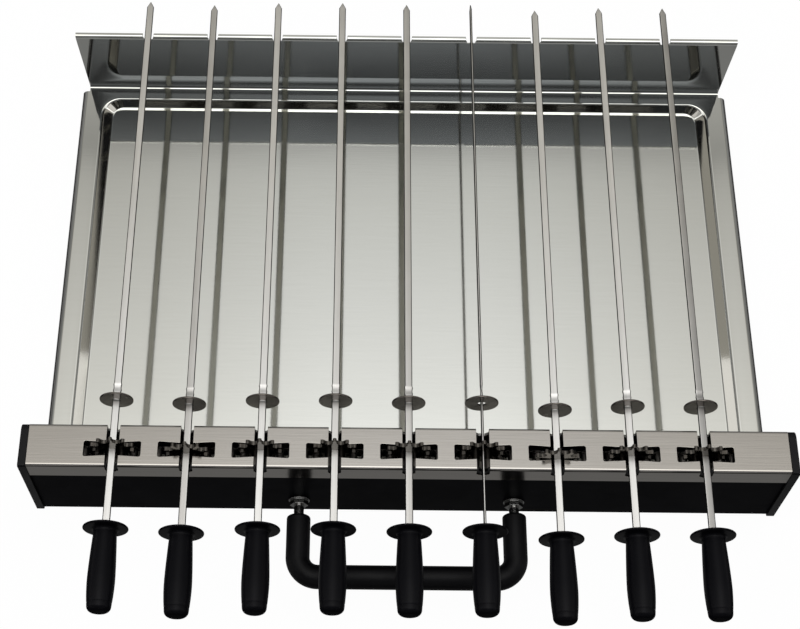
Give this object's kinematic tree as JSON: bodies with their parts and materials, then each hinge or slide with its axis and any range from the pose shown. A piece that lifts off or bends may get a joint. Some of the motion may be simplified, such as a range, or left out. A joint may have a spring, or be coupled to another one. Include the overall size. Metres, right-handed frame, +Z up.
{
  "type": "electric skewer grill drawer",
  "caption": "Pull-out drawer of an electric skewer grill: a chain-driven bar turns a row of flat skewers with star wheels over a shallow steel drip tray, with a U-shaped pull handle in front.",
  "frame": {"origin": "middle of the drive bar's underside, on the surface it stands on", "axes": "+X along the bar to the right as seen from the pull handle, +Y from the pull handle to the back plate, +Z up"},
  "size_m": [0.6, 0.5685, 0.1065],
  "materials": {
    "cover_steel": "satin, grain along the bar",
    "tray_steel": "bright rolled sheet with soft reflections",
    "inner_steel": "plain rolled sheet",
    "chain_steel": "oiled, dark",
    "skewer_steel": "ground flat bar",
    "bright_steel": "polished",
    "black_enamel": "semi-gloss black",
    "motor_paint": "satin grey",
    "gear_brass": "machined",
    "black_plastic": "fine grained black",
    "rail_plastic": "natural sliding plastic",
    "grip_plastic": "glossy black",
    "handle_rubber": "smooth black sleeve"
  },
  "bodies": {
    "drawer": {"top_cover": "cover_steel", "front_fascia": "black_enamel", "rear_wall": "inner_steel", "end_cap_left": "black_plastic", "end_cap_right": "black_plastic", "skewer_saddles": "black_plastic", "drive_chassis": "inner_steel", "guide_rail": "rail_plastic", "drive_chain": "chain_steel", "gear_motor": "motor_paint", "motor_bracket": "inner_steel", "shaft_bush": "gear_brass", "idler_axle": "inner_steel", "power_inlet": "black_plastic", "tray": "tray_steel", "sheet_screws": "bright_steel", "handle_rod": "bright_steel", "handle_sleeve": "handle_rubber", "handle_fasteners": "bright_steel"},
    "drive": {"drive_shaft": "inner_steel", "drive_gear": "gear_brass", "drive_sprocket": "chain_steel"},
    "motor_output": {"motor_pinion": "gear_brass"},
    "idler": {"idler_sprocket": "chain_steel"},
    "washer_1": {"stop_washer_1": "bright_steel"},
    "skewer_1": {"blade_1": "skewer_steel", "star_wheel_1": "skewer_steel", "grip_1": "grip_plastic"},
    "washer_2": {"stop_washer_2": "bright_steel"},
    "skewer_2": {"blade_2": "skewer_steel", "star_wheel_2": "skewer_steel", "grip_2": "grip_plastic"},
    "washer_3": {"stop_washer_3": "bright_steel"},
    "skewer_3": {"blade_3": "skewer_steel", "star_wheel_3": "skewer_steel", "grip_3": "grip_plastic"},
    "washer_4": {"stop_washer_4": "bright_steel"},
    "skewer_4": {"blade_4": "skewer_steel", "star_wheel_4": "skewer_steel", "grip_4": "grip_plastic"},
    "washer_5": {"stop_washer_5": "bright_steel"},
    "skewer_5": {"blade_5": "skewer_steel", "star_wheel_5": "skewer_steel", "grip_5": "grip_plastic"},
    "washer_6": {"stop_washer_6": "bright_steel"},
    "skewer_6": {"blade_6": "skewer_steel", "star_wheel_6": "skewer_steel", "grip_6": "grip_plastic"},
    "washer_7": {"stop_washer_7": "bright_steel"},
    "skewer_7": {"blade_7": "skewer_steel", "star_wheel_7": "skewer_steel", "grip_7": "grip_plastic"},
    "washer_8": {"stop_washer_8": "bright_steel"},
    "skewer_8": {"blade_8": "skewer_steel", "star_wheel_8": "skewer_steel", "grip_8": "grip_plastic"},
    "washer_9": {"stop_washer_9": "bright_steel"},
    "skewer_9": {"blade_9": "skewer_steel", "star_wheel_9": "skewer_steel", "grip_9": "grip_plastic"}
  },
  "joints": [
    {"name": "drive_spin", "type": "hinge", "parent": "drawer", "child": "drive", "pos_m": [0.26194, 0, 0.05818], "axis": [0, 1, 0], "continuous": true, "deforming": ["drive_chain"]},
    {"name": "motor_spin", "type": "hinge", "parent": "drawer", "child": "motor_output", "pos_m": [0.25952, 0, 0.0185], "axis": [0, 1, 0], "continuous": true},
    {"name": "idler_spin", "type": "hinge", "parent": "drawer", "child": "idler", "pos_m": [-0.26194, 0, 0.05818], "axis": [0, 1, 0], "continuous": true},
    {"name": "skewer_1_lift", "type": "slide", "parent": "drawer", "child": "washer_1", "axis": [0, 0, 1], "range_m": [0, 0.06]},
    {"name": "skewer_1_spin", "type": "hinge", "parent": "washer_1", "child": "skewer_1", "pos_m": [-0.2286, 0, 0.089], "axis": [0, 1, 0], "continuous": true},
    {"name": "skewer_2_lift", "type": "slide", "parent": "drawer", "child": "washer_2", "axis": [0, 0, 1], "range_m": [0, 0.06]},
    {"name": "skewer_2_spin", "type": "hinge", "parent": "washer_2", "child": "skewer_2", "pos_m": [-0.17145, 0, 0.089], "axis": [0, 1, 0], "continuous": true},
    {"name": "skewer_3_lift", "type": "slide", "parent": "drawer", "child": "washer_3", "axis": [0, 0, 1], "range_m": [0, 0.06]},
    {"name": "skewer_3_spin", "type": "hinge", "parent": "washer_3", "child": "skewer_3", "pos_m": [-0.1143, 0, 0.089], "axis": [0, 1, 0], "continuous": true},
    {"name": "skewer_4_lift", "type": "slide", "parent": "drawer", "child": "washer_4", "axis": [0, 0, 1], "range_m": [0, 0.06]},
    {"name": "skewer_4_spin", "type": "hinge", "parent": "washer_4", "child": "skewer_4", "pos_m": [-0.05715, 0, 0.089], "axis": [0, 1, 0], "continuous": true},
    {"name": "skewer_5_lift", "type": "slide", "parent": "drawer", "child": "washer_5", "axis": [0, 0, 1], "range_m": [0, 0.06]},
    {"name": "skewer_5_spin", "type": "hinge", "parent": "washer_5", "child": "skewer_5", "pos_m": [0, 0, 0.089], "axis": [0, 1, 0], "continuous": true},
    {"name": "skewer_6_lift", "type": "slide", "parent": "drawer", "child": "washer_6", "axis": [0, 0, 1], "range_m": [0, 0.06]},
    {"name": "skewer_6_spin", "type": "hinge", "parent": "washer_6", "child": "skewer_6", "pos_m": [0.05715, 0, 0.089], "axis": [0, 1, 0], "continuous": true},
    {"name": "skewer_7_lift", "type": "slide", "parent": "drawer", "child": "washer_7", "axis": [0, 0, 1], "range_m": [0, 0.06]},
    {"name": "skewer_7_spin", "type": "hinge", "parent": "washer_7", "child": "skewer_7", "pos_m": [0.1143, 0, 0.089], "axis": [0, 1, 0], "continuous": true},
    {"name": "skewer_8_lift", "type": "slide", "parent": "drawer", "child": "washer_8", "axis": [0, 0, 1], "range_m": [0, 0.06]},
    {"name": "skewer_8_spin", "type": "hinge", "parent": "washer_8", "child": "skewer_8", "pos_m": [0.17145, 0, 0.089], "axis": [0, 1, 0], "continuous": true},
    {"name": "skewer_9_lift", "type": "slide", "parent": "drawer", "child": "washer_9", "axis": [0, 0, 1], "range_m": [0, 0.06]},
    {"name": "skewer_9_spin", "type": "hinge", "parent": "washer_9", "child": "skewer_9", "pos_m": [0.2286, 0, 0.089], "axis": [0, 1, 0], "continuous": true}
  ],
  "couplings": [
    {"joint": "motor_spin", "follows": "drive_spin", "ratio": -1.65},
    {"joint": "idler_spin", "follows": "drive_spin", "ratio": 1},
    {"joint": "skewer_1_spin", "follows": "drive_spin", "ratio": -1},
    {"joint": "skewer_2_spin", "follows": "drive_spin", "ratio": -1},
    {"joint": "skewer_3_spin", "follows": "drive_spin", "ratio": -1},
    {"joint": "skewer_4_spin", "follows": "drive_spin", "ratio": -1},
    {"joint": "skewer_5_spin", "follows": "drive_spin", "ratio": -1},
    {"joint": "skewer_6_spin", "follows": "drive_spin", "ratio": -1},
    {"joint": "skewer_7_spin", "follows": "drive_spin", "ratio": -1},
    {"joint": "skewer_8_spin", "follows": "drive_spin", "ratio": -1},
    {"joint": "skewer_9_spin", "follows": "drive_spin", "ratio": -1}
  ]
}
